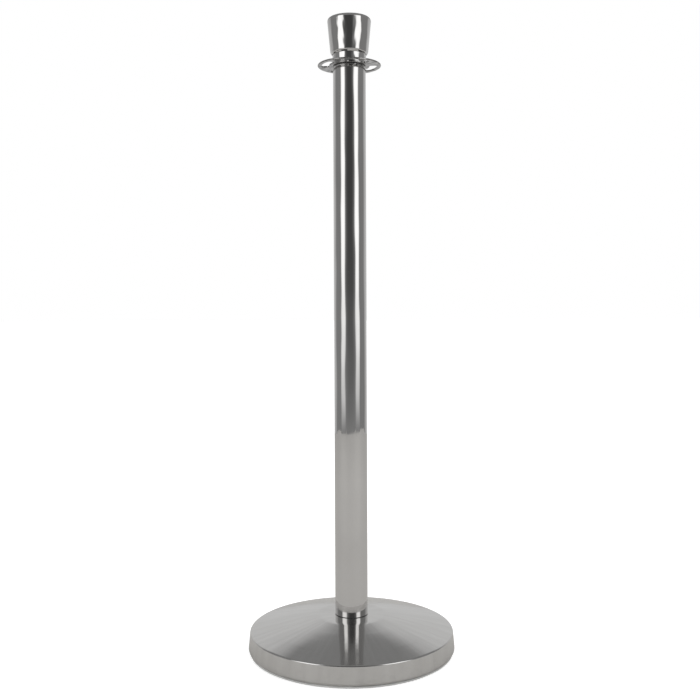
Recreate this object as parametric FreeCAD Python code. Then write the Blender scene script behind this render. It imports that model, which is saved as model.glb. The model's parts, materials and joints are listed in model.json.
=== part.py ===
"""Crown-top rope post: weighted dome base, polished tube, swivelling rope ring, screw-on crown.

Frame: millimetres, +Z up along the post's axis, origin on the floor at the centre of the base.
Parts are turned about that axis unless their function says otherwise. Outlines are drawn as
(radius, height) corners; a third number rounds the corner to that radius.
Threads are plain cylinders at their major diameter.
"""
import FreeCAD, Part
import math
import os

# Overall sizes
TOTAL_HEIGHT = 985.0
TUBE_OD = 50.8
TUBE_WALL = 1.2
BASE_DIAMETER = 320.0

# Clearances
RUNNING = 0.05                # radial play of a running or screwed fit
PRESSED = 0.03                # radial gap left in a pressed or bonded joint

# Base
FLOOR_RING_HEIGHT = 3.0
FLOOR_RING_OUTER_R = 157.0
FLOOR_RING_INNER_R = 139.0
RUBBER_ROUNDING = 0.8
BEAD_R = 146.0                # middle of the bead that locates the floor ring in the weight
BEAD_WIDTH = 4.0
BEAD_HEIGHT = 3.0
COVER_SHEET = 1.0
COVER_RIM_R = 157.4           # where the side wall meets the sloping top
COVER_RIM_HEIGHT = 32.0
COVER_RIM_ROUNDING = 2.6
COVER_SLOPE_R = 104.0         # the slope bows here, half-way up
COVER_SLOPE_HEIGHT = 44.9
COVER_SLOPE_BOW = 900.0       # radius of the bow
COVER_DISC_R = 52.0           # flat disc round the foot of the tube
COVER_DISC_HEIGHT = 54.8
COVER_DISC_ROUNDING = 40.0
COVER_FOOT_ROUNDING = 4.2     # where the wall turns in to the hem
COVER_HEM_R = 154.5
COVER_HOLE_R = 9.0
WEIGHT_R = 153.5
WEIGHT_THICKNESS = 16.0
WEIGHT_LOWER_ROUNDING = 1.5
WEIGHT_UPPER_ROUNDING = 4.0
BOSS_R = 34.0
BOSS_FOOT_ROUNDING = 8.0
BOSS_TOP_ROUNDING = 2.0
GROOVE_PLAY = 0.3             # above the bead of the floor ring

# Foot screw, M16, and what holds it
FOOT_THREAD_R = 8.0
FOOT_CLEARANCE_R = 8.6
FOOT_NUT_FLATS = 24.0
BASE_NUT_HEIGHT = 13.0
FOOT_NUT_HEIGHT = 8.0
POCKET_PLAY = 0.3             # across the flats of the base nut
FOOT_STUD_PROUD = 3.0         # stud above the foot nut
RETAINER_R = 28.0
RETAINER_SHEET = 1.6
RETAINER_ROUNDING = 0.4
RETAINER_PLAY = 0.5           # round the retainer, in its recess
RECESS_DEPTH = 5.0
SCREW_CIRCLE_R = 22.0
SCREW_COUNT = 3
SCREW_R = 2.5
SCREW_LENGTH = 12.0
SCREW_HOLE_PLAY = 0.3
SCREW_TIP = 0.8
SCREW_HEAD_R = 4.75
SCREW_HEAD_HEIGHT = 2.8
SCREW_HEAD_ROUNDING = 1.4
SOCKET_FLATS = 3.0
SOCKET_DEPTH = 1.6
GASKET_HEIGHT = 0.8
GASKET_INSET = 0.3            # gasket's edge behind the tube's
BOTTOM_PLUG_HEIGHT = 25.0
PLUG_LEAD = 2.0               # lead-in chamfer of both plugs

# Head of the post
RING_MID_HEIGHT = 907.35
RING_THICKNESS = 2.5
RING_OUTER_R = 49.2
RING_RIM_ROUNDING = 1.1
RING_SLOT_OUTER_R = 43.2
RING_SLOT_INNER_R = 31.4
RING_SLOT_COUNT = 4
RING_SLOT_ARC = 54.0          # degrees
RING_SLOT_CORNER = 4.0
RING_SLOT_EASE = 0.6          # rounding of the slots' mouths
RING_FIRST_SLOT = 20.0        # degrees from +X to the middle of the first slot
RING_BORE_R = 17.0
RING_WASHER_HEIGHT = 0.8
RING_WASHER_PLAY = 0.3        # round the spigot
RING_WASHER_INSET = 0.6       # washer's edge behind the tube's
RING_PLAY = 0.3               # end float that lets the ring turn
SPIGOT_R = 15.0
PLUG_FLANGE_HEIGHT = 2.0
PLUG_FLANGE_ROUNDING = 0.5
TOP_PLUG_HEIGHT = 25.0
COLLAR_R = 26.0
COLLAR_BORE_PLAY = 0.4
COLLAR_LOWER_ROUNDING = 0.6
COLLAR_UPPER_ROUNDING = 1.0
COLLAR_RISE = 4.5             # how far the collar reaches into the crown

# Crown and its stud, M12
HEAD_THREAD_R = 6.0
HEAD_THREAD_PITCH = 1.75
HEAD_THREAD_TURNS = 10
HEAD_NUT_FLATS = 19.0
HEAD_NUT_HEIGHT = 10.0
HEAD_STUD_LIFT = 3.0          # stud's foot above the underside of its plug
CROWN_SHEET = 1.2
CROWN_LIP_HEIGHT = 924.0      # lower edge, curled in to the collar
CROWN_LIP_R = 27.05
CROWN_EDGE_HEIGHT = 926.5     # where the flared wall starts to curl in
CROWN_EDGE_R = 29.38
CROWN_EDGE_ROUNDING = 6.5
CROWN_RIM_HEIGHT = 979.6
CROWN_RIM_R = 34.35
CROWN_RIM_ROUNDING = 5.4
CROWN_TOP_R = 14.0            # flat middle of the domed top
CROWN_TOP_ROUNDING = 80.0
CROWN_WASHER_HEIGHT = 1.0
CROWN_WASHER_BORE_R = 13.5
CROWN_WASHER_INSET = 1.0      # washer's edge behind the collar's
INSERT_MOUTH_R = 13.4         # clears the head nut
INSERT_HUB_R = 17.0
INSERT_FLANGE_HEIGHT = 4.0
INSERT_OVER_STUD = 3.0
INSERT_CHAMFER = 1.0

# Heights that follow from the sizes above
COVER_UNDER = COVER_DISC_HEIGHT - COVER_SHEET
WEIGHT_TOP = FLOOR_RING_HEIGHT + WEIGHT_THICKNESS
RECESS_TOP = FLOOR_RING_HEIGHT + RECESS_DEPTH
BASE_NUT_TOP = RECESS_TOP + BASE_NUT_HEIGHT
SCREW_HEAD_TOP = RECESS_TOP - RETAINER_SHEET
SCREW_END = SCREW_HEAD_TOP + SCREW_LENGTH
TUBE_FOOT = COVER_DISC_HEIGHT + GASKET_HEIGHT
BOTTOM_PLUG_TOP = TUBE_FOOT + BOTTOM_PLUG_HEIGHT
FOOT_WASHER_HEIGHT = 3.5
FOOT_NUT_TOP = BOTTOM_PLUG_TOP + FOOT_WASHER_HEIGHT + FOOT_NUT_HEIGHT
RING_UNDER = RING_MID_HEIGHT - RING_THICKNESS / 2
RING_TOP = RING_MID_HEIGHT + RING_THICKNESS / 2
FLANGE_TOP = RING_UNDER - RING_WASHER_HEIGHT
TUBE_TOP = FLANGE_TOP - PLUG_FLANGE_HEIGHT
SPIGOT_TOP = RING_TOP + RING_WASHER_HEIGHT + RING_PLAY
PLUG_UNDER = TUBE_TOP - TOP_PLUG_HEIGHT
COLLAR_TOP = CROWN_LIP_HEIGHT + COLLAR_RISE
HEAD_WASHER_HEIGHT = 2.5
HEAD_NUT_TOP = COLLAR_TOP + HEAD_WASHER_HEIGHT + HEAD_NUT_HEIGHT
NUT_HEADROOM = 1.6
INSERT_WEB_UNDER = HEAD_NUT_TOP + NUT_HEADROOM
HEAD_STUD_TOP = INSERT_WEB_UNDER + HEAD_THREAD_TURNS * HEAD_THREAD_PITCH
TUBE_R = TUBE_OD / 2
TUBE_BORE_R = TUBE_R - TUBE_WALL
PLUG_R = TUBE_BORE_R - PRESSED

# Fasteners
NUT_CHAMFER_ANGLE = 30.0      # degrees
NUT_FACE = 0.95               # width of a nut's flat face, as a share of its flats
NUT_MOUTH = 0.8               # chamfer at both ends of a nut's thread
STUD_CHAMFER = 1.2
WASHER_PLAY = 0.25            # lock washer round its stud
WASHER_SPLIT = 1.6
WASHER_SPLIT_LEAN = 20.0      # degrees
FOOT_WASHER_SECTION = 5.0
HEAD_WASHER_SECTION = 4.2
BEYOND = 1.0                  # how far a cutter reaches past what it cuts


def rounded_path(corners, closed):
    """Wire through the corners, in the plane of the axis, with tangent arcs where asked."""
    points = [FreeCAD.Vector(corner[0], 0, corner[1]) for corner in corners]
    radii = [corner[2] if len(corner) > 2 else 0.0 for corner in corners]
    stops = []
    for index, point in enumerate(points):
        if radii[index] == 0.0:
            stops.append((point, None, point))
            continue
        before = (points[index - 1] - point).normalize()
        after = (points[(index + 1) % len(points)] - point).normalize()
        half_angle = before.getAngle(after) / 2
        inward = (before + after).normalize()
        reach = radii[index] / math.tan(half_angle)
        middle = point + inward * (radii[index] / math.sin(half_angle) - radii[index])
        stops.append((point + before * reach, middle, point + after * reach))
    edges = []
    for index, (start, middle, end) in enumerate(stops):
        if middle is not None:
            edges.append(Part.Arc(start, middle, end).toShape())
        if index + 1 < len(stops) or closed:
            following = stops[(index + 1) % len(stops)][0]
            edges.append(Part.LineSegment(end, following).toShape())
    return Part.Wire(edges)


def spin(face):
    """Solid swept by a face in the plane of the axis."""
    return face.revolve(FreeCAD.Vector(0, 0, 0), FreeCAD.Vector(0, 0, 1), 360)


def turned(*corners):
    """Solid of revolution with this closed outline."""
    return spin(Part.Face(rounded_path(corners, closed=True)))


def ring(inner_r, outer_r, low, high, rounding=0.0):
    """Flat or tubular ring whose outer corners may be rounded."""
    return turned((inner_r, low), (outer_r, low, rounding), (outer_r, high, rounding), (inner_r, high))


def spun_sheet(sheet, *corners):
    """Spun shell of even thickness, with the corners on its outer skin."""
    skin = rounded_path(corners, closed=False)
    return spin(skin.makeOffset2D(-sheet, join=2, fill=True, openResult=True))


def cylinder(radius, low, high, x=0.0, y=0.0):
    return Part.makeCylinder(radius, high - low, FreeCAD.Vector(x, y, low))


def hexagon(across_flats, low, high):
    """Hexagonal prism with two flats facing along Y."""
    corner_r = across_flats / math.sqrt(3)
    angles = [math.radians(60 * step) for step in range(7)]
    points = [FreeCAD.Vector(corner_r * math.cos(a), corner_r * math.sin(a), low) for a in angles]
    return Part.Face(Part.makePolygon(points)).extrude(FreeCAD.Vector(0, 0, high - low))


def hex_nut(across_flats, thread_r, low, high):
    """Nut with both ends of its corners turned down and a chamfered thread."""
    corner_r = across_flats / math.sqrt(3)
    face_r = across_flats / 2 * NUT_FACE
    drop = (corner_r - face_r) * math.tan(math.radians(NUT_CHAMFER_ANGLE))
    blank = turned(
        (0, low), (face_r, low), (corner_r, low + drop),
        (corner_r, high - drop), (face_r, high), (0, high),
    )
    hole_r = thread_r + RUNNING
    mouth_r = hole_r + NUT_MOUTH
    thread = turned(
        (0, low - BEYOND), (mouth_r, low - BEYOND), (mouth_r, low), (hole_r, low + NUT_MOUTH),
        (hole_r, high - NUT_MOUTH), (mouth_r, high), (mouth_r, high + BEYOND), (0, high + BEYOND),
    )
    return hexagon(across_flats, low, high).common(blank).cut(thread)


def spring_washer(bolt_r, section, low, high):
    """Split lock washer, drawn flat as it sits when tight."""
    inner_r = bolt_r + WASHER_PLAY
    outer_r = inner_r + section
    corner = FreeCAD.Vector(0, -WASHER_SPLIT / 2, low - BEYOND)
    split = Part.makeBox(outer_r + BEYOND, WASHER_SPLIT, high - low + 2 * BEYOND, corner)
    split.rotate(FreeCAD.Vector(0, 0, (low + high) / 2), FreeCAD.Vector(1, 0, 0), WASHER_SPLIT_LEAN)
    return ring(inner_r, outer_r, low, high).cut(split)


def stud(radius, low, high):
    """Threaded rod with chamfered ends."""
    return turned(
        (0, low), (radius - STUD_CHAMFER, low), (radius, low + STUD_CHAMFER),
        (radius, high - STUD_CHAMFER), (radius - STUD_CHAMFER, high), (0, high),
    )


# Base

def floor_ring():
    """Rubber ring under the rim, with a bead that sits in a groove of the weight."""
    bead_inner_r = BEAD_R - BEAD_WIDTH / 2
    bead_outer_r = BEAD_R + BEAD_WIDTH / 2
    bead_top = FLOOR_RING_HEIGHT + BEAD_HEIGHT
    return turned(
        (FLOOR_RING_INNER_R, 0, RUBBER_ROUNDING),
        (FLOOR_RING_OUTER_R, 0, RUBBER_ROUNDING),
        (FLOOR_RING_OUTER_R, FLOOR_RING_HEIGHT, RUBBER_ROUNDING),
        (bead_outer_r, FLOOR_RING_HEIGHT),
        (bead_outer_r, bead_top, RUBBER_ROUNDING),
        (bead_inner_r, bead_top, RUBBER_ROUNDING),
        (bead_inner_r, FLOOR_RING_HEIGHT),
        (FLOOR_RING_INNER_R, FLOOR_RING_HEIGHT),
    )


def base_cover():
    """Spun dome: flat disc, bowed slope, upright wall and a hem rolled in under the rim."""
    return spun_sheet(
        COVER_SHEET,
        (COVER_HOLE_R, COVER_DISC_HEIGHT),
        (COVER_DISC_R, COVER_DISC_HEIGHT, COVER_DISC_ROUNDING),
        (COVER_SLOPE_R, COVER_SLOPE_HEIGHT, COVER_SLOPE_BOW),
        (COVER_RIM_R, COVER_RIM_HEIGHT, COVER_RIM_ROUNDING),
        (BASE_DIAMETER / 2, FLOOR_RING_HEIGHT, COVER_FOOT_ROUNDING),
        (COVER_HEM_R, FLOOR_RING_HEIGHT),
    )


def base_weight():
    """Cast-iron disc with a boss up to the cover, a hexagonal nut pocket and a recess below it."""
    casting = turned(
        (0, FLOOR_RING_HEIGHT),
        (WEIGHT_R, FLOOR_RING_HEIGHT, WEIGHT_LOWER_ROUNDING),
        (WEIGHT_R, WEIGHT_TOP, WEIGHT_UPPER_ROUNDING),
        (BOSS_R + BOSS_FOOT_ROUNDING / 2, WEIGHT_TOP, BOSS_FOOT_ROUNDING),
        (BOSS_R, COVER_UNDER, BOSS_TOP_ROUNDING),
        (0, COVER_UNDER),
    )
    groove_half = BEAD_WIDTH / 2 + RUNNING
    groove_top = FLOOR_RING_HEIGHT + BEAD_HEIGHT + GROOVE_PLAY
    hollows = [
        ring(BEAD_R - groove_half, BEAD_R + groove_half, 0, groove_top),
        cylinder(RETAINER_R + RETAINER_PLAY, 0, RECESS_TOP),
        hexagon(FOOT_NUT_FLATS + POCKET_PLAY, RECESS_TOP - BEYOND, BASE_NUT_TOP),
        cylinder(FOOT_CLEARANCE_R, 0, COVER_UNDER + BEYOND),
    ]
    for x, y in screw_places():
        hollows.append(cylinder(SCREW_R + RUNNING, RECESS_TOP - BEYOND, SCREW_END, x, y))
    return casting.cut(hollows)


def screw_places():
    """Middles of the retainer screws, clear of the nut's corners."""
    angles = [math.radians(90 + 360 * step / SCREW_COUNT) for step in range(SCREW_COUNT)]
    return [(SCREW_CIRCLE_R * math.cos(a), SCREW_CIRCLE_R * math.sin(a)) for a in angles]


def base_nut():
    return hex_nut(FOOT_NUT_FLATS, FOOT_THREAD_R, RECESS_TOP, BASE_NUT_TOP)


def nut_retainer():
    """Round steel plate that keeps the nut in its pocket."""
    plate = ring(COVER_HOLE_R, RETAINER_R, SCREW_HEAD_TOP, RECESS_TOP, RETAINER_ROUNDING)
    hole_r = SCREW_R + SCREW_HOLE_PLAY
    return plate.cut([cylinder(hole_r, 0, RECESS_TOP + BEYOND, x, y) for x, y in screw_places()])


def retainer_screws():
    """Pan-head screws with hexagonal sockets, heads down."""
    head_low = SCREW_HEAD_TOP - SCREW_HEAD_HEIGHT
    screw = turned(
        (0, head_low),
        (SCREW_HEAD_R, head_low, SCREW_HEAD_ROUNDING),
        (SCREW_HEAD_R, SCREW_HEAD_TOP),
        (SCREW_R, SCREW_HEAD_TOP),
        (SCREW_R, SCREW_END - SCREW_TIP),
        (SCREW_R - SCREW_TIP, SCREW_END),
        (0, SCREW_END),
    )
    screw = screw.cut(hexagon(SOCKET_FLATS, head_low - BEYOND, head_low + SOCKET_DEPTH))
    return Part.makeCompound([screw.translated(FreeCAD.Vector(x, y, 0)) for x, y in screw_places()])


# Post

def foot_gasket():
    """Thin washer between the tube's end and the cover."""
    return ring(FOOT_CLEARANCE_R, TUBE_R - GASKET_INSET, COVER_DISC_HEIGHT, TUBE_FOOT)


def post_tube():
    return ring(TUBE_BORE_R, TUBE_R, TUBE_FOOT, TUBE_TOP)


def tube_bottom_plug():
    """Steel plug pressed into the foot of the tube and threaded for the foot stud."""
    return turned(
        (FOOT_THREAD_R + RUNNING, TUBE_FOOT),
        (PLUG_R, TUBE_FOOT),
        (PLUG_R, BOTTOM_PLUG_TOP - PLUG_LEAD),
        (PLUG_R - PLUG_LEAD, BOTTOM_PLUG_TOP),
        (FOOT_THREAD_R + RUNNING, BOTTOM_PLUG_TOP),
    )


def foot_stud():
    return stud(FOOT_THREAD_R, RECESS_TOP, FOOT_NUT_TOP + FOOT_STUD_PROUD)


def foot_lock_washer():
    high = BOTTOM_PLUG_TOP + FOOT_WASHER_HEIGHT
    return spring_washer(FOOT_THREAD_R, FOOT_WASHER_SECTION, BOTTOM_PLUG_TOP, high)


def foot_nut():
    return hex_nut(FOOT_NUT_FLATS, FOOT_THREAD_R, FOOT_NUT_TOP - FOOT_NUT_HEIGHT, FOOT_NUT_TOP)


def tube_top_plug():
    """Plug pressed into the head of the tube, with a flange and the spigot the ring turns on."""
    thread_r = HEAD_THREAD_R + RUNNING
    return turned(
        (thread_r, PLUG_UNDER),
        (PLUG_R - PLUG_LEAD, PLUG_UNDER),
        (PLUG_R, PLUG_UNDER + PLUG_LEAD),
        (PLUG_R, TUBE_TOP),
        (TUBE_R, TUBE_TOP),
        (TUBE_R, FLANGE_TOP, PLUG_FLANGE_ROUNDING),
        (SPIGOT_R, FLANGE_TOP),
        (SPIGOT_R, SPIGOT_TOP),
        (thread_r, SPIGOT_TOP),
    )


def ring_washer(low):
    """Nylon washer that the rope ring turns against."""
    high = low + RING_WASHER_HEIGHT
    return ring(SPIGOT_R + RING_WASHER_PLAY, TUBE_R - RING_WASHER_INSET, low, high)


def ring_washer_lower():
    return ring_washer(FLANGE_TOP)


def ring_washer_upper():
    return ring_washer(RING_TOP)


def neck_collar():
    """Polished sleeve clamped on the spigot's end, so that the ring below it keeps its play."""
    bore_r = HEAD_THREAD_R + COLLAR_BORE_PLAY
    return turned(
        (bore_r, SPIGOT_TOP),
        (COLLAR_R, SPIGOT_TOP, COLLAR_LOWER_ROUNDING),
        (COLLAR_R, COLLAR_TOP, COLLAR_UPPER_ROUNDING),
        (bore_r, COLLAR_TOP),
    )


def head_stud():
    return stud(HEAD_THREAD_R, PLUG_UNDER + HEAD_STUD_LIFT, HEAD_STUD_TOP)


def head_lock_washer():
    high = COLLAR_TOP + HEAD_WASHER_HEIGHT
    return spring_washer(HEAD_THREAD_R, HEAD_WASHER_SECTION, COLLAR_TOP, high)


def head_nut():
    return hex_nut(HEAD_NUT_FLATS, HEAD_THREAD_R, HEAD_NUT_TOP - HEAD_NUT_HEIGHT, HEAD_NUT_TOP)


# Rope ring

def rope_ring():
    """Flat ring with curved slots for the rope hooks, every edge eased."""
    plate = ring(RING_BORE_R + PRESSED, RING_OUTER_R, RING_UNDER, RING_TOP, RING_RIM_ROUNDING)
    step = 360 / RING_SLOT_COUNT
    slots = [rope_slot(RING_FIRST_SLOT + step * index) for index in range(RING_SLOT_COUNT)]
    plate = plate.cut(slots)
    return plate.makeFillet(RING_SLOT_EASE, [edge for edge in plate.Edges if is_slot_edge(edge)])


def rope_slot(middle):
    """Cutter for one curved slot with rounded corners; the angle is in degrees."""
    def polar(radius, angle):
        turn = math.radians(angle)
        return FreeCAD.Vector(radius * math.cos(turn), radius * math.sin(turn), RING_UNDER - BEYOND)

    start = middle - RING_SLOT_ARC / 2
    end = middle + RING_SLOT_ARC / 2
    outer = [polar(RING_SLOT_OUTER_R, angle) for angle in (start, middle, end)]
    inner = [polar(RING_SLOT_INNER_R, angle) for angle in (end, middle, start)]
    outline = Part.Wire([
        Part.Arc(*outer).toShape(),
        Part.LineSegment(outer[-1], inner[0]).toShape(),
        Part.Arc(*inner).toShape(),
        Part.LineSegment(inner[-1], outer[0]).toShape(),
    ])
    cutter = Part.Face(outline).extrude(FreeCAD.Vector(0, 0, RING_THICKNESS + 2 * BEYOND))
    upright = [edge for edge in cutter.Edges if edge.BoundBox.ZLength > RING_THICKNESS]
    return cutter.makeFillet(RING_SLOT_CORNER, upright)


def is_slot_edge(edge):
    """Whether an edge of the ring lies along a slot's mouth."""
    box = edge.BoundBox
    middle = edge.valueAt((edge.FirstParameter + edge.LastParameter) / 2)
    radius = math.hypot(middle.x, middle.y)
    flat = box.ZLength < RING_SLOT_EASE / 2
    return flat and RING_SLOT_INNER_R - BEYOND < radius < RING_SLOT_OUTER_R + BEYOND


def ring_bush():
    """Plain bearing between the ring and the spigot."""
    return ring(SPIGOT_R + RUNNING, RING_BORE_R, RING_UNDER, RING_TOP)


# Crown

def crown_washer():
    """Washer that the crown tightens against."""
    high = COLLAR_TOP + CROWN_WASHER_HEIGHT
    return ring(CROWN_WASHER_BORE_R, COLLAR_R - CROWN_WASHER_INSET, COLLAR_TOP, high)


def crown_insert():
    """Threaded hub inside the crown, hollow below its web to clear the head nut."""
    low = COLLAR_TOP + CROWN_WASHER_HEIGHT
    flange_top = low + INSERT_FLANGE_HEIGHT
    flange_r = crown_bore_at(low) - PRESSED
    top = HEAD_STUD_TOP + INSERT_OVER_STUD
    thread_r = HEAD_THREAD_R + RUNNING
    return turned(
        (INSERT_MOUTH_R, low),
        (flange_r, low, INSERT_CHAMFER / 2),
        (flange_r, flange_top),
        (INSERT_HUB_R, flange_top, INSERT_CHAMFER * 2),
        (INSERT_HUB_R, top, INSERT_CHAMFER),
        (thread_r + INSERT_CHAMFER, top),
        (thread_r, top - INSERT_CHAMFER),
        (thread_r, INSERT_WEB_UNDER + INSERT_CHAMFER),
        (thread_r + INSERT_CHAMFER, INSERT_WEB_UNDER),
        (INSERT_MOUTH_R, INSERT_WEB_UNDER),
    )


def crown_bore_at(height):
    """Inner radius of the crown's flared wall."""
    share = (height - CROWN_EDGE_HEIGHT) / (CROWN_RIM_HEIGHT - CROWN_EDGE_HEIGHT)
    lean = math.atan2(CROWN_RIM_R - CROWN_EDGE_R, CROWN_RIM_HEIGHT - CROWN_EDGE_HEIGHT)
    return CROWN_EDGE_R + (CROWN_RIM_R - CROWN_EDGE_R) * share - CROWN_SHEET / math.cos(lean)


def crown_shell():
    """Spun crown: lower lip curled in to the collar, flared wall, rounded rim and domed top."""
    return spun_sheet(
        CROWN_SHEET,
        (0, TOTAL_HEIGHT),
        (CROWN_TOP_R, TOTAL_HEIGHT, CROWN_TOP_ROUNDING),
        (CROWN_RIM_R, CROWN_RIM_HEIGHT, CROWN_RIM_ROUNDING),
        (CROWN_EDGE_R, CROWN_EDGE_HEIGHT, CROWN_EDGE_ROUNDING),
        (CROWN_LIP_R, CROWN_LIP_HEIGHT),
    )


PARTS = [
    floor_ring, base_weight, base_cover, base_nut, nut_retainer, retainer_screws,
    foot_gasket, post_tube, tube_bottom_plug, foot_stud, foot_lock_washer, foot_nut,
    tube_top_plug, ring_washer_lower, ring_washer_upper, neck_collar,
    head_stud, head_lock_washer, head_nut, rope_ring, ring_bush,
    crown_washer, crown_insert, crown_shell,
]

os.makedirs("parts", exist_ok=True)
for make in PARTS:
    shape = make()
    shape.exportStep(f"parts/{make.__name__}.step")
    print(f"{make.__name__:20s} solids {len(shape.Solids)} valid {shape.isValid()} volume {shape.Volume:12.1f}")
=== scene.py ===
import json
import math

import bmesh
import bpy
from mathutils import Matrix, Vector


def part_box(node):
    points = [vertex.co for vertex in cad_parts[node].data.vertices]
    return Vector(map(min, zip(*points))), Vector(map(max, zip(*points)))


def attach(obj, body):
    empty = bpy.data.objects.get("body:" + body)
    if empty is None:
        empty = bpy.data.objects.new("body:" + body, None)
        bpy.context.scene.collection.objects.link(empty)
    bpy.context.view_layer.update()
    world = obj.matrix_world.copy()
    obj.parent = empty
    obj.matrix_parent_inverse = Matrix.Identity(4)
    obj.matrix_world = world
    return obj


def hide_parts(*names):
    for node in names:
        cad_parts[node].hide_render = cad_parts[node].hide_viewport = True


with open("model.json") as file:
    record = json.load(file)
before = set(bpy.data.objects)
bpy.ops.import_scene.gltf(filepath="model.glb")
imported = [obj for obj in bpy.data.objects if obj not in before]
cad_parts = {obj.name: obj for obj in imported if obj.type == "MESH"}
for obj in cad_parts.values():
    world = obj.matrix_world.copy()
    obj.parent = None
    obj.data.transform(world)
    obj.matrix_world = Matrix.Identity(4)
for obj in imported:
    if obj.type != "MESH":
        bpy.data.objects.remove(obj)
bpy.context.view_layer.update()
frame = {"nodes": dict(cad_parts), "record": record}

NODES = frame["nodes"]


# ---------------------------------------------------------------- node helpers

class Graph:
    """A material's node tree, with short calls that add a node and link its inputs."""

    def __init__(self, tree):
        self.tree = tree
        self.tree.nodes.clear()

    def add(self, kind, settings=None, **inputs):
        node = self.tree.nodes.new(kind)
        for name, value in (settings or {}).items():
            setattr(node, name, value)
        for name, value in inputs.items():
            self.put(node, name.replace("_", " "), value)
        return node

    def put(self, node, name, value):
        socket = node.inputs[int(name[1:])] if name[0] == "i" and name[1:].isdigit() else node.inputs[name]
        if isinstance(value, bpy.types.NodeSocket):
            self.tree.links.new(value, socket)
        else:
            socket.default_value = value

    def math(self, operation, a, b=0.0):
        return self.add("ShaderNodeMath", {"operation": operation}, i0=a, i1=b).outputs[0]

    def place(self):
        """Position in the object's own frame, in metres."""
        return self.add("ShaderNodeTexCoord").outputs["Object"]

    def xyz(self, vector):
        parts = self.add("ShaderNodeSeparateXYZ", i0=vector).outputs
        return parts[0], parts[1], parts[2]

    def join(self, x, y, z):
        return self.add("ShaderNodeCombineXYZ", i0=x, i1=y, i2=z).outputs[0]

    def round_place(self, along, across, around):
        """Coordinates that run round the axis: (height, radius, angle), each with its own scale."""
        x, y, z = self.xyz(self.place())
        radius = self.math("SQRT", self.math("ADD", self.math("MULTIPLY", x, x), self.math("MULTIPLY", y, y)))
        angle = self.math("ARCTAN2", y, x)
        return self.join(
            self.math("MULTIPLY", z, along),
            self.math("MULTIPLY", radius, across),
            self.math("MULTIPLY", angle, around),
        )

    def stretched(self, x, y, z):
        """Position scaled differently along each axis."""
        return self.add("ShaderNodeMapping", Scale=(x, y, z), Vector=self.place()).outputs[0]

    def noise(self, vector, scale=1.0, detail=3.0, roughness=0.5):
        node = self.add("ShaderNodeTexNoise", Vector=vector, Scale=scale, Detail=detail, Roughness=roughness)
        return node.outputs[0]

    def spread(self, value, low, high, from_low=0.3, from_high=0.7):
        """Noise brought to the range low to high."""
        node = self.add("ShaderNodeMapRange", Value=value)
        limits = {"From Min": from_low, "From Max": from_high, "To Min": low, "To Max": high}
        for name, number in limits.items():
            node.inputs[name].default_value = number
        return node.outputs[0]

    def mix(self, share, first, second):
        node = self.add("ShaderNodeMix", {"data_type": "RGBA"})
        self.put(node, "i0", share)
        self.put(node, "i6", first if isinstance(first, bpy.types.NodeSocket) else (*first, 1))
        self.put(node, "i7", second if isinstance(second, bpy.types.NodeSocket) else (*second, 1))
        return node.outputs[2]

    def bump(self, height, distance, strength=1.0, normal=None):
        node = self.add("ShaderNodeBump", Height=height, Strength=strength, Distance=distance)
        if normal is not None:
            self.put(node, "Normal", normal)
        return node.outputs[0]


def material(name, build):
    made = bpy.data.materials.new(name)
    made.use_nodes = True
    graph = Graph(made.node_tree)
    surface = build(graph)
    out = graph.add("ShaderNodeOutputMaterial")
    made.node_tree.links.new(surface.outputs[0], out.inputs[0])
    return made


def principled(graph, **inputs):
    return graph.add("ShaderNodeBsdfPrincipled", None, **inputs)


# ---------------------------------------------------------------- materials

WARM_STEEL_DARK = (0.655, 0.648, 0.640)
WARM_STEEL_LIGHT = (0.705, 0.698, 0.690)


def polished_tube(graph):
    """Mirror polish over a drawn tube: long shallow waves and faint lines along it."""
    waves = graph.noise(graph.stretched(24, 24, 6), detail=1.5)
    lines = graph.noise(graph.stretched(900, 900, 5), detail=4)
    cloud = graph.noise(graph.place(), scale=9.0, detail=3)
    rough = graph.math("ADD", graph.spread(lines, 0.015, 0.040), graph.spread(cloud, 0.0, 0.015))
    return principled(
        graph, Base_Color=graph.mix(graph.spread(cloud, 0, 1), WARM_STEEL_DARK, WARM_STEEL_LIGHT),
        Metallic=1.0, Roughness=rough,
        Normal=graph.bump(lines, 0.000004, 0.25, graph.bump(waves, 0.0026)),
    )


def polished_spun(graph):
    """Mirror polish over spun metal: waves left by the tool and fine lines round the axis."""
    waves = graph.noise(graph.stretched(95, 95, 40), detail=1)
    slow = graph.noise(graph.stretched(26, 26, 20), detail=1)
    lines = graph.noise(graph.round_place(2600, 2600, 1.2), detail=4)
    return principled(
        graph, Base_Color=graph.mix(graph.spread(slow, 0, 1), WARM_STEEL_DARK, WARM_STEEL_LIGHT),
        Metallic=1.0, Roughness=graph.spread(lines, 0.015, 0.045),
        Normal=graph.bump(lines, 0.000004, 0.3, graph.bump(waves, 0.0011, 1.0, graph.bump(slow, 0.0012))),
    )


def polished_ring(graph):
    """Polished plate, duller than the tube, with lines round the axis and soft mottling."""
    lines = graph.noise(graph.round_place(1500, 1500, 2.0), detail=4)
    mottle = graph.noise(graph.place(), scale=130.0, detail=3)
    tint = graph.mix(graph.spread(mottle, 0, 1), (0.16, 0.158, 0.156), (0.56, 0.555, 0.547))
    rough = graph.math("ADD", graph.spread(lines, 0.08, 0.15), graph.spread(mottle, 0.0, 0.08))
    return principled(
        graph, Base_Color=tint, Metallic=1.0, Roughness=rough,
        Normal=graph.bump(lines, 0.00001, 0.3, graph.bump(mottle, 0.0003)),
    )


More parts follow.
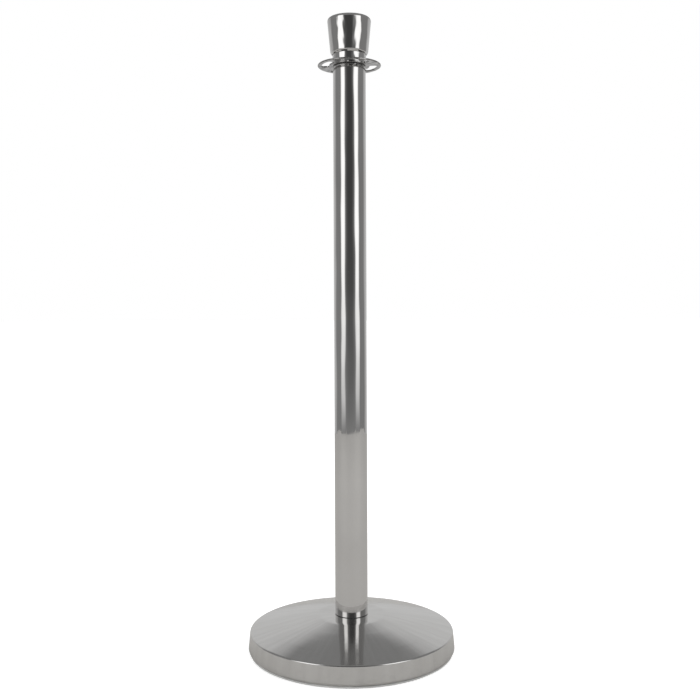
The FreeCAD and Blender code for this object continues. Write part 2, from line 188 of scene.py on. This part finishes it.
def satin_cover(graph):
    """Spun sheet polished on the lathe: fine circles, slow blotches and a scuffed lower edge.

    The circles spread a reflection along the radius and leave it sharp round the axis.
    """
    circles = graph.noise(graph.round_place(1400, 1400, 1.5), detail=5, roughness=0.6)
    streaks = graph.noise(graph.round_place(8, 8, 16), detail=3)
    cloud = graph.noise(graph.round_place(40, 25, 3.0), detail=4)
    z = graph.xyz(graph.place())[2]
    low = graph.spread(z, 1.0, 0.0, 0.004, 0.032)
    patches = graph.noise(graph.stretched(110, 110, 160), detail=5)
    scuff = graph.math("MULTIPLY", low, graph.spread(patches, 0, 1, 0.45, 0.75))
    tint = graph.mix(graph.spread(streaks, 0, 1), (0.63, 0.624, 0.614), (0.69, 0.684, 0.674))
    tint = graph.mix(graph.math("MULTIPLY", graph.spread(cloud, 0, 1), 0.3), tint, (0.60, 0.593, 0.58))
    tint = graph.mix(graph.math("MULTIPLY", scuff, 0.3), tint, (0.50, 0.49, 0.48))
    rough = graph.math("ADD", graph.spread(circles, 0.06, 0.10), graph.spread(cloud, 0.0, 0.02))
    rough = graph.math("ADD", rough, graph.math("MULTIPLY", scuff, 0.08))
    waves = graph.noise(graph.round_place(30, 30, 0.8), detail=2)
    tangent = graph.add("ShaderNodeTangent", {"direction_type": "RADIAL", "axis": "Z"}).outputs[0]
    return principled(
        graph, Base_Color=tint, Metallic=1.0, Roughness=rough,
        Anisotropic=0.95, Anisotropic_Rotation=0.25, Tangent=tangent,
        Normal=graph.bump(circles, 0.000006, 0.3, graph.bump(waves, 0.0002, 0.5)),
    )


def cast_iron(graph):
    """Sand casting under thin black paint."""
    grain = graph.noise(graph.place(), scale=900.0, detail=6, roughness=0.65)
    lumps = graph.noise(graph.place(), scale=60.0, detail=3)
    tint = graph.mix(graph.spread(lumps, 0, 1), (0.020, 0.020, 0.021), (0.055, 0.052, 0.050))
    rust = graph.spread(graph.noise(graph.place(), scale=35.0, detail=8, roughness=0.7), 0, 0.5, 0.62, 0.74)
    tint = graph.mix(rust, tint, (0.11, 0.055, 0.03))
    return principled(
        graph, Base_Color=tint, Roughness=graph.spread(grain, 0.55, 0.85),
        Normal=graph.bump(grain, 0.0004, 0.5, graph.bump(lumps, 0.0008, 0.4)),
    )


def rubber(graph):
    """Moulded rubber, paler in patches of dust."""
    grain = graph.noise(graph.place(), scale=1500.0, detail=4)
    dust = graph.noise(graph.round_place(300, 60, 6.0), detail=5, roughness=0.6)
    tint = graph.mix(graph.spread(dust, 0, 1), (0.30, 0.30, 0.295), (0.42, 0.42, 0.41))
    return principled(
        graph, Base_Color=tint, Roughness=graph.spread(dust, 0.6, 0.8),
        Normal=graph.bump(grain, 0.00008, 0.5),
    )


def zinc_plate(graph):
    """Bright zinc with a cloudy passivated tint."""
    cloud = graph.noise(graph.place(), scale=160.0, detail=4)
    fine = graph.noise(graph.place(), scale=2500.0, detail=3)
    tint = graph.mix(graph.spread(cloud, 0, 1), (0.50, 0.52, 0.55), (0.66, 0.64, 0.58))
    return principled(
        graph, Base_Color=tint, Metallic=1.0, Roughness=graph.spread(fine, 0.26, 0.42),
        Normal=graph.bump(fine, 0.00002, 0.4),
    )


def turned_metal(graph, dark, light):
    """Plain turned metal with tool lines round the axis."""
    lines = graph.noise(graph.round_place(2200, 2200, 0.8), detail=3)
    tint = graph.mix(graph.spread(lines, 0, 1), dark, light)
    return principled(
        graph, Base_Color=tint, Metallic=1.0, Roughness=graph.spread(lines, 0.22, 0.40),
        Normal=graph.bump(lines, 0.00003, 0.4),
    )


def black_nylon(graph):
    """Turned nylon with a faint sheen."""
    lines = graph.noise(graph.round_place(1800, 1800, 1.0), detail=3)
    tint = graph.mix(graph.spread(lines, 0, 1), (0.022, 0.022, 0.023), (0.04, 0.04, 0.042))
    return principled(
        graph, Base_Color=tint, Roughness=graph.spread(lines, 0.4, 0.55),
        Normal=graph.bump(lines, 0.00003, 0.4),
    )


def turned_steel(graph):
    return turned_metal(graph, (0.42, 0.42, 0.42), (0.56, 0.56, 0.55))


def turned_alloy(graph):
    return turned_metal(graph, (0.60, 0.60, 0.61), (0.74, 0.74, 0.74))


MATERIALS = {
    "polished_tube": material("polished_tube_detail", polished_tube),
    "polished_head": material("polished_head_detail", polished_spun),
    "polished_ring": material("polished_ring_detail", polished_ring),
    "satin_cover": material("satin_cover_detail", satin_cover),
    "cast_iron": material("cast_iron_detail", cast_iron),
    "rubber": material("rubber_detail", rubber),
    "zinc_plate": material("zinc_plate_detail", zinc_plate),
    "turned_steel": material("turned_steel_detail", turned_steel),
    "turned_alloy": material("turned_alloy_detail", turned_alloy),
    "black_nylon": material("black_nylon_detail", black_nylon),
}

SLOT_OF = {part["node"]: part["material_slot"] for part in frame["record"]["subparts"]}
for node, obj in NODES.items():
    for place in obj.material_slots:
        place.material = MATERIALS[SLOT_OF[node]]


# ---------------------------------------------------------------- turned pieces

def lathe(name, outline, columns=96, closed=False):
    """Surface of revolution about Z through (radius, height) points."""
    mesh = bmesh.new()
    rings = []
    for radius, height in outline:
        turns = [2 * math.pi * column / columns for column in range(columns)]
        rings.append([mesh.verts.new((radius * math.cos(t), radius * math.sin(t), height)) for t in turns])
    following = rings[1:] + rings[:1] if closed else rings[1:]
    for below, above in zip(rings, following):
        for column in range(columns):
            after = (column + 1) % columns
            mesh.faces.new((below[column], below[after], above[after], above[column]))
    if closed:
        bmesh.ops.recalc_face_normals(mesh, faces=mesh.faces)
    data = bpy.data.meshes.new(name)
    mesh.to_mesh(data)
    mesh.free()
    obj = bpy.data.objects.new(name, data)
    bpy.context.scene.collection.objects.link(obj)
    return obj


ARC_STEP = math.radians(4)
SHORT_EDGE = 0.0002           # beside each corner, so that its smooth shading stays there


def rounded_outline(corners):
    """Closed outline through (radius, height, rounding) corners."""
    outline = []
    for index, (radius, height, rounding) in enumerate(corners):
        corner = Vector((radius, height))
        before = (Vector(corners[index - 1][:2]) - corner).normalized()
        after = (Vector(corners[(index + 1) % len(corners)][:2]) - corner).normalized()
        half = before.angle(after) / 2
        reach = rounding / math.tan(half)
        outline.append(corner + before * (reach + SHORT_EDGE))
        if rounding:
            middle = corner + (before + after).normalized() * rounding / math.sin(half)
            start = corner + before * reach - middle
            end = corner + after * reach - middle
            sweep = math.pi - 2 * half
            steps = math.ceil(sweep / ARC_STEP) + 1
            for step in range(steps + 1):
                near_start = math.sin(sweep * (1 - step / steps)) / math.sin(sweep)
                near_end = math.sin(sweep * step / steps) / math.sin(sweep)
                outline.append(middle + start * near_start + end * near_end)
        else:
            outline.append(corner)
        outline.append(corner + after * (reach + SHORT_EDGE))
    return outline


# Base cover in metres: radii, and drops below its top. A rounding is the radius at a corner.
COVER_HOLE_R = 0.009
COVER_DISC_R = 0.052           # flat disc round the foot of the tube
COVER_DISC_ROUNDING = 0.040
COVER_SLOPE_R = 0.104          # the slope bows here, half-way down
COVER_SLOPE_DROP = 0.0099
COVER_SLOPE_BOW = 0.900
COVER_RIM_R = 0.1574           # where the slope meets the side wall
COVER_RIM_DROP = 0.0228
COVER_RIM_ROUNDING = 0.0026
COVER_FOOT_R = 0.160
COVER_FOOT_ROUNDING = 0.0042
COVER_HEM_R = 0.1545           # edge of the hem, turned in under the wall
COVER_SHEET = 0.001
# How far the inner face's corners stand in from the outer ones, one sheet away square to each face.
INSIDE_FOOT = 0.0011
INSIDE_RIM = 0.0009
INSIDE_RIM_DROP = 0.0008
INSIDE_SLOPE = 0.0002
INSIDE_DISC = 0.0001
COVER_COLUMNS = 256


def smooth_cover():
    """The base cover turned finely enough for clean reflections along its rim."""
    low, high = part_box("base_cover")
    top, foot = high.z, low.z
    outer = [
        (COVER_HOLE_R, top, 0),
        (COVER_DISC_R, top, COVER_DISC_ROUNDING),
        (COVER_SLOPE_R, top - COVER_SLOPE_DROP, COVER_SLOPE_BOW),
        (COVER_RIM_R, top - COVER_RIM_DROP, COVER_RIM_ROUNDING),
        (COVER_FOOT_R, foot, COVER_FOOT_ROUNDING),
        (COVER_HEM_R, foot, 0),
    ]
    inner = [
        (COVER_HEM_R, foot + COVER_SHEET, 0),
        (COVER_FOOT_R - INSIDE_FOOT, foot + COVER_SHEET, COVER_FOOT_ROUNDING - COVER_SHEET),
        (COVER_RIM_R - INSIDE_RIM, top - COVER_RIM_DROP - INSIDE_RIM_DROP, COVER_RIM_ROUNDING - COVER_SHEET),
        (COVER_SLOPE_R - INSIDE_SLOPE, top - COVER_SLOPE_DROP - COVER_SHEET, COVER_SLOPE_BOW - COVER_SHEET),
        (COVER_DISC_R - INSIDE_DISC, top - COVER_SHEET, COVER_DISC_ROUNDING - COVER_SHEET),
        (COVER_HOLE_R, top - COVER_SHEET, 0),
    ]
    outline = rounded_outline(outer + inner)
    outline = [(min(point.x, high.x), point.y) for point in outline]
    obj = lathe("base_cover_turned", outline, columns=COVER_COLUMNS, closed=True)
    for face in obj.data.polygons:
        face.use_smooth = True
    obj.data.materials.append(MATERIALS["satin_cover"])
    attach(obj, "base")
    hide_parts("base_cover")


smooth_cover()


# ---------------------------------------------------------------- threaded studs

FOOT_PITCH = 0.002
HEAD_PITCH = 0.00175
THREAD_DEPTH = 0.61            # in pitches
THREAD_ROOT = 0.12             # flat root and sloping flank, as shares of half a pitch
THREAD_FLANK = 0.70
THREAD_CHAMFER = 0.0012
THREAD_COLUMNS = 64
ROWS_PER_PITCH = 10


def thread_height(phase):
    """Depth share of a 60 degree thread with a flattened crest and root, over one pitch."""
    ramp = abs((phase % 1.0) * 2 - 1)
    return min(1.0, max(0.0, (ramp - THREAD_ROOT) / THREAD_FLANK))


def threaded_rod(name, node, pitch, body):
    """The stud of a CAD node with its real helical thread, inside the CAD solid."""
    low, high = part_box(node)
    crest = high.x
    depth = pitch * THREAD_DEPTH
    rows = int((high.z - low.z) / pitch * ROWS_PER_PITCH)
    mesh = bmesh.new()
    rings = []
    for row in range(rows + 1):
        z = low.z + (high.z - low.z) * row / rows
        cap = crest - THREAD_CHAMFER + min(z - low.z, high.z - z, THREAD_CHAMFER)
        ring = []
        for column in range(THREAD_COLUMNS):
            turn = 2 * math.pi * column / THREAD_COLUMNS
            radius = crest - depth + depth * thread_height(z / pitch - column / THREAD_COLUMNS)
            radius = min(radius, cap)
            ring.append(mesh.verts.new((radius * math.cos(turn), radius * math.sin(turn), z)))
        rings.append(ring)
    for below, above in zip(rings, rings[1:]):
        for column in range(THREAD_COLUMNS):
            after = (column + 1) % THREAD_COLUMNS
            mesh.faces.new((below[column], below[after], above[after], above[column]))
    mesh.faces.new(list(reversed(rings[0])))
    mesh.faces.new(rings[-1])
    data = bpy.data.meshes.new(name)
    mesh.to_mesh(data)
    mesh.free()
    for face in data.polygons:
        face.use_smooth = len(face.vertices) == 4
    obj = bpy.data.objects.new(name, data)
    bpy.context.scene.collection.objects.link(obj)
    data.materials.append(MATERIALS["zinc_plate"])
    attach(obj, body)
    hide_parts(node)


threaded_rod("foot_stud_threaded", "foot_stud", FOOT_PITCH, "post")
threaded_rod("head_stud_threaded", "head_stud", HEAD_PITCH, "post")


# ---------------------------------------------------------------- studio

ROOM_RADIUS = 2.6
ROOM_HEIGHT = 3.4
ROOM_COVE = ((1.0, -0.001), (1.0, 2.4), (0.9, 3.0), (0.7, 3.3))   # share of the radius, height
WALL_LEVEL = 0.25
WALL_UNEVENNESS = 0.05
SCREEN_RADIUS = 2.5

# Screens that show in the polish: middle and half-width in degrees from the viewer's side,
# positive to the right, lower and upper edge in metres, brightness at the middle.
SCREENS = {
    "backdrop": (180, 70, -0.6, 2.2, 0.65),
    "soft_box_left": (-50, 18, 0.0, 3.2, 1.5),
    "soft_box_right": (50, 18, 0.0, 3.2, 1.5),
    "dark_curtain": (0, 30, 0.0, 3.2, 0.06),
}
SCREEN_ROWS = 16
FADE_POWER = 4                 # higher keeps a screen even nearer to its edges
FLOOR_DROP = 0.0003            # floors lie this little below the object, out of its way
SEEN_FLOOR_DROP = 0.0002
FLOOR_HOLE = 0.005
FLOOR_RADIUS = 40.0
LIGHT_AIM = (0, 0, 0.4)


def only_in_reflections(obj):
    """Marks a part of the studio that nothing but a mirror sees."""
    obj.visible_camera = False
    obj.visible_diffuse = False
    obj.visible_shadow = False
    obj.visible_transmission = False


def glow(level):
    """Cloth lit evenly, with a faint unevenness."""
    def build(graph):
        cloud = graph.noise(graph.place(), scale=1.5, detail=2)
        dark = (level * (1 - WALL_UNEVENNESS),) * 3
        light = (level * (1 + WALL_UNEVENNESS),) * 3
        tint = graph.mix(graph.spread(cloud, 0, 1), dark, light)
        return graph.add("ShaderNodeEmission", Color=tint, Strength=1.0)
    return build


def feathered(level):
    """Light that is strongest in the middle of its screen and fades into the room at its edges."""
    def build(graph):
        fade = graph.add("ShaderNodeAttribute", {"attribute_name": "fade"}).outputs["Fac"]
        tint = graph.mix(fade, (WALL_LEVEL,) * 3, (level,) * 3)
        return graph.add("ShaderNodeEmission", Color=tint, Strength=1.0)
    return build


def screen(name, middle, half_width, low, high, level):
    """Upright screen curved round the post, from the floor up."""
    columns = half_width * 2
    points, fades = [], []
    for row in range(SCREEN_ROWS + 1):
        up = 2 * row / SCREEN_ROWS - 1
        height = max(0.0, low + (high - low) * row / SCREEN_ROWS)
        for column in range(columns + 1):
            across = 2 * column / columns - 1
            turn = math.radians(middle + half_width * across)
            points.append((SCREEN_RADIUS * math.sin(turn), -SCREEN_RADIUS * math.cos(turn), height))
            fades.append((1 - across ** FADE_POWER) * (1 - up ** FADE_POWER))
    faces = []
    for row in range(SCREEN_ROWS):
        for column in range(columns):
            first = row * (columns + 1) + column
            faces.append((first, first + 1, first + columns + 2, first + columns + 1))
    data = bpy.data.meshes.new(name)
    data.from_pydata(points, [], faces)
    data.attributes.new("fade", "FLOAT", "POINT").data.foreach_set("value", fades)
    obj = bpy.data.objects.new(name, data)
    bpy.context.scene.collection.objects.link(obj)
    data.materials.append(material(name + "_light", feathered(level)))
    only_in_reflections(obj)


for screen_name, screen_size in SCREENS.items():
    screen("studio_" + screen_name, *screen_size)

room_outline = [(ROOM_RADIUS * share, height) for share, height in ROOM_COVE]
room = lathe("studio_room", room_outline + [(0.01, ROOM_HEIGHT)])
room.data.materials.append(material("studio_room_light", glow(WALL_LEVEL)))
only_in_reflections(room)


def grey_floor(graph):
    """What the polish sees of the floor: mid-grey, in the studio's own light and shadow."""
    grain = graph.noise(graph.place(), scale=30.0, detail=4)
    tint = graph.mix(grain, (0.43, 0.42, 0.405), (0.47, 0.46, 0.445))
    return principled(graph, Base_Color=tint, Roughness=0.9)


floor_seen = lathe("studio_floor_reflected", [(FLOOR_HOLE, 0.0), (0.5, 0.0), (ROOM_RADIUS, 0.0)])
floor_seen.location.z = -SEEN_FLOOR_DROP
floor_seen.data.materials.append(material("studio_floor_grey", grey_floor))
only_in_reflections(floor_seen)


def pale_floor(graph):
    """White acrylic table, lit faintly from below."""
    grain = graph.noise(graph.place(), scale=40.0, detail=4)
    tint = graph.mix(grain, (0.86, 0.86, 0.86), (0.88, 0.88, 0.88))
    return principled(
        graph, Base_Color=tint, Roughness=0.9, Emission_Color=(1.0, 1.0, 1.0, 1.0), Emission_Strength=0.4,
    )


floor = lathe("studio_floor", [(FLOOR_HOLE, 0.0), (1.0, 0.0), (FLOOR_RADIUS, 0.0)])
floor.location.z = -FLOOR_DROP
floor.data.materials.append(material("studio_floor_pale", pale_floor))
floor.visible_glossy = False

world = bpy.data.worlds.new("studio_world")
bpy.context.scene.world = world
world.use_nodes = True
world.node_tree.nodes["Background"].inputs[0].default_value = (1.0, 1.0, 1.0, 1)
world.node_tree.nodes["Background"].inputs[1].default_value = 1.0


def soft_light(name, place, size, power):
    """Round area light that lights the dull surfaces; the screens stand for it in the polish."""
    data = bpy.data.lights.new(name, "AREA")
    data.shape = "DISK"
    data.size = size
    data.energy = power
    obj = bpy.data.objects.new(name, data)
    bpy.context.scene.collection.objects.link(obj)
    obj.location = place
    obj.rotation_euler = (Vector(LIGHT_AIM) - Vector(place)).to_track_quat("-Z", "Y").to_euler()
    obj.visible_glossy = False
    obj.visible_camera = False


soft_light("key_light", (1.6, -1.4, 2.4), 1.6, 18)
soft_light("fill_light", (-1.8, -1.0, 2.0), 1.8, 8)


# ---------------------------------------------------------------- camera

CAMERA_PLACE = (-0.0005, -1.457, 0.5302)
CAMERA_TILT = 0.40            # degrees downwards
CAMERA_ROLL = -0.235          # degrees
CAMERA_LENS = 48.1
CAMERA_SHIFT_Y = -0.05
camera_data = bpy.data.cameras.new("camera")
camera_data.lens = CAMERA_LENS
camera_data.shift_y = CAMERA_SHIFT_Y
camera_data.clip_start = 0.05
camera = bpy.data.objects.new("camera", camera_data)
bpy.context.scene.collection.objects.link(camera)
tilt = Matrix.Rotation(math.radians(90 - CAMERA_TILT), 4, "X")
roll = Matrix.Rotation(math.radians(CAMERA_ROLL), 4, "Z")
camera.matrix_world = Matrix.Translation(CAMERA_PLACE) @ tilt @ roll
bpy.context.scene.camera = camera
bpy.context.scene.view_settings.view_transform = "Standard"
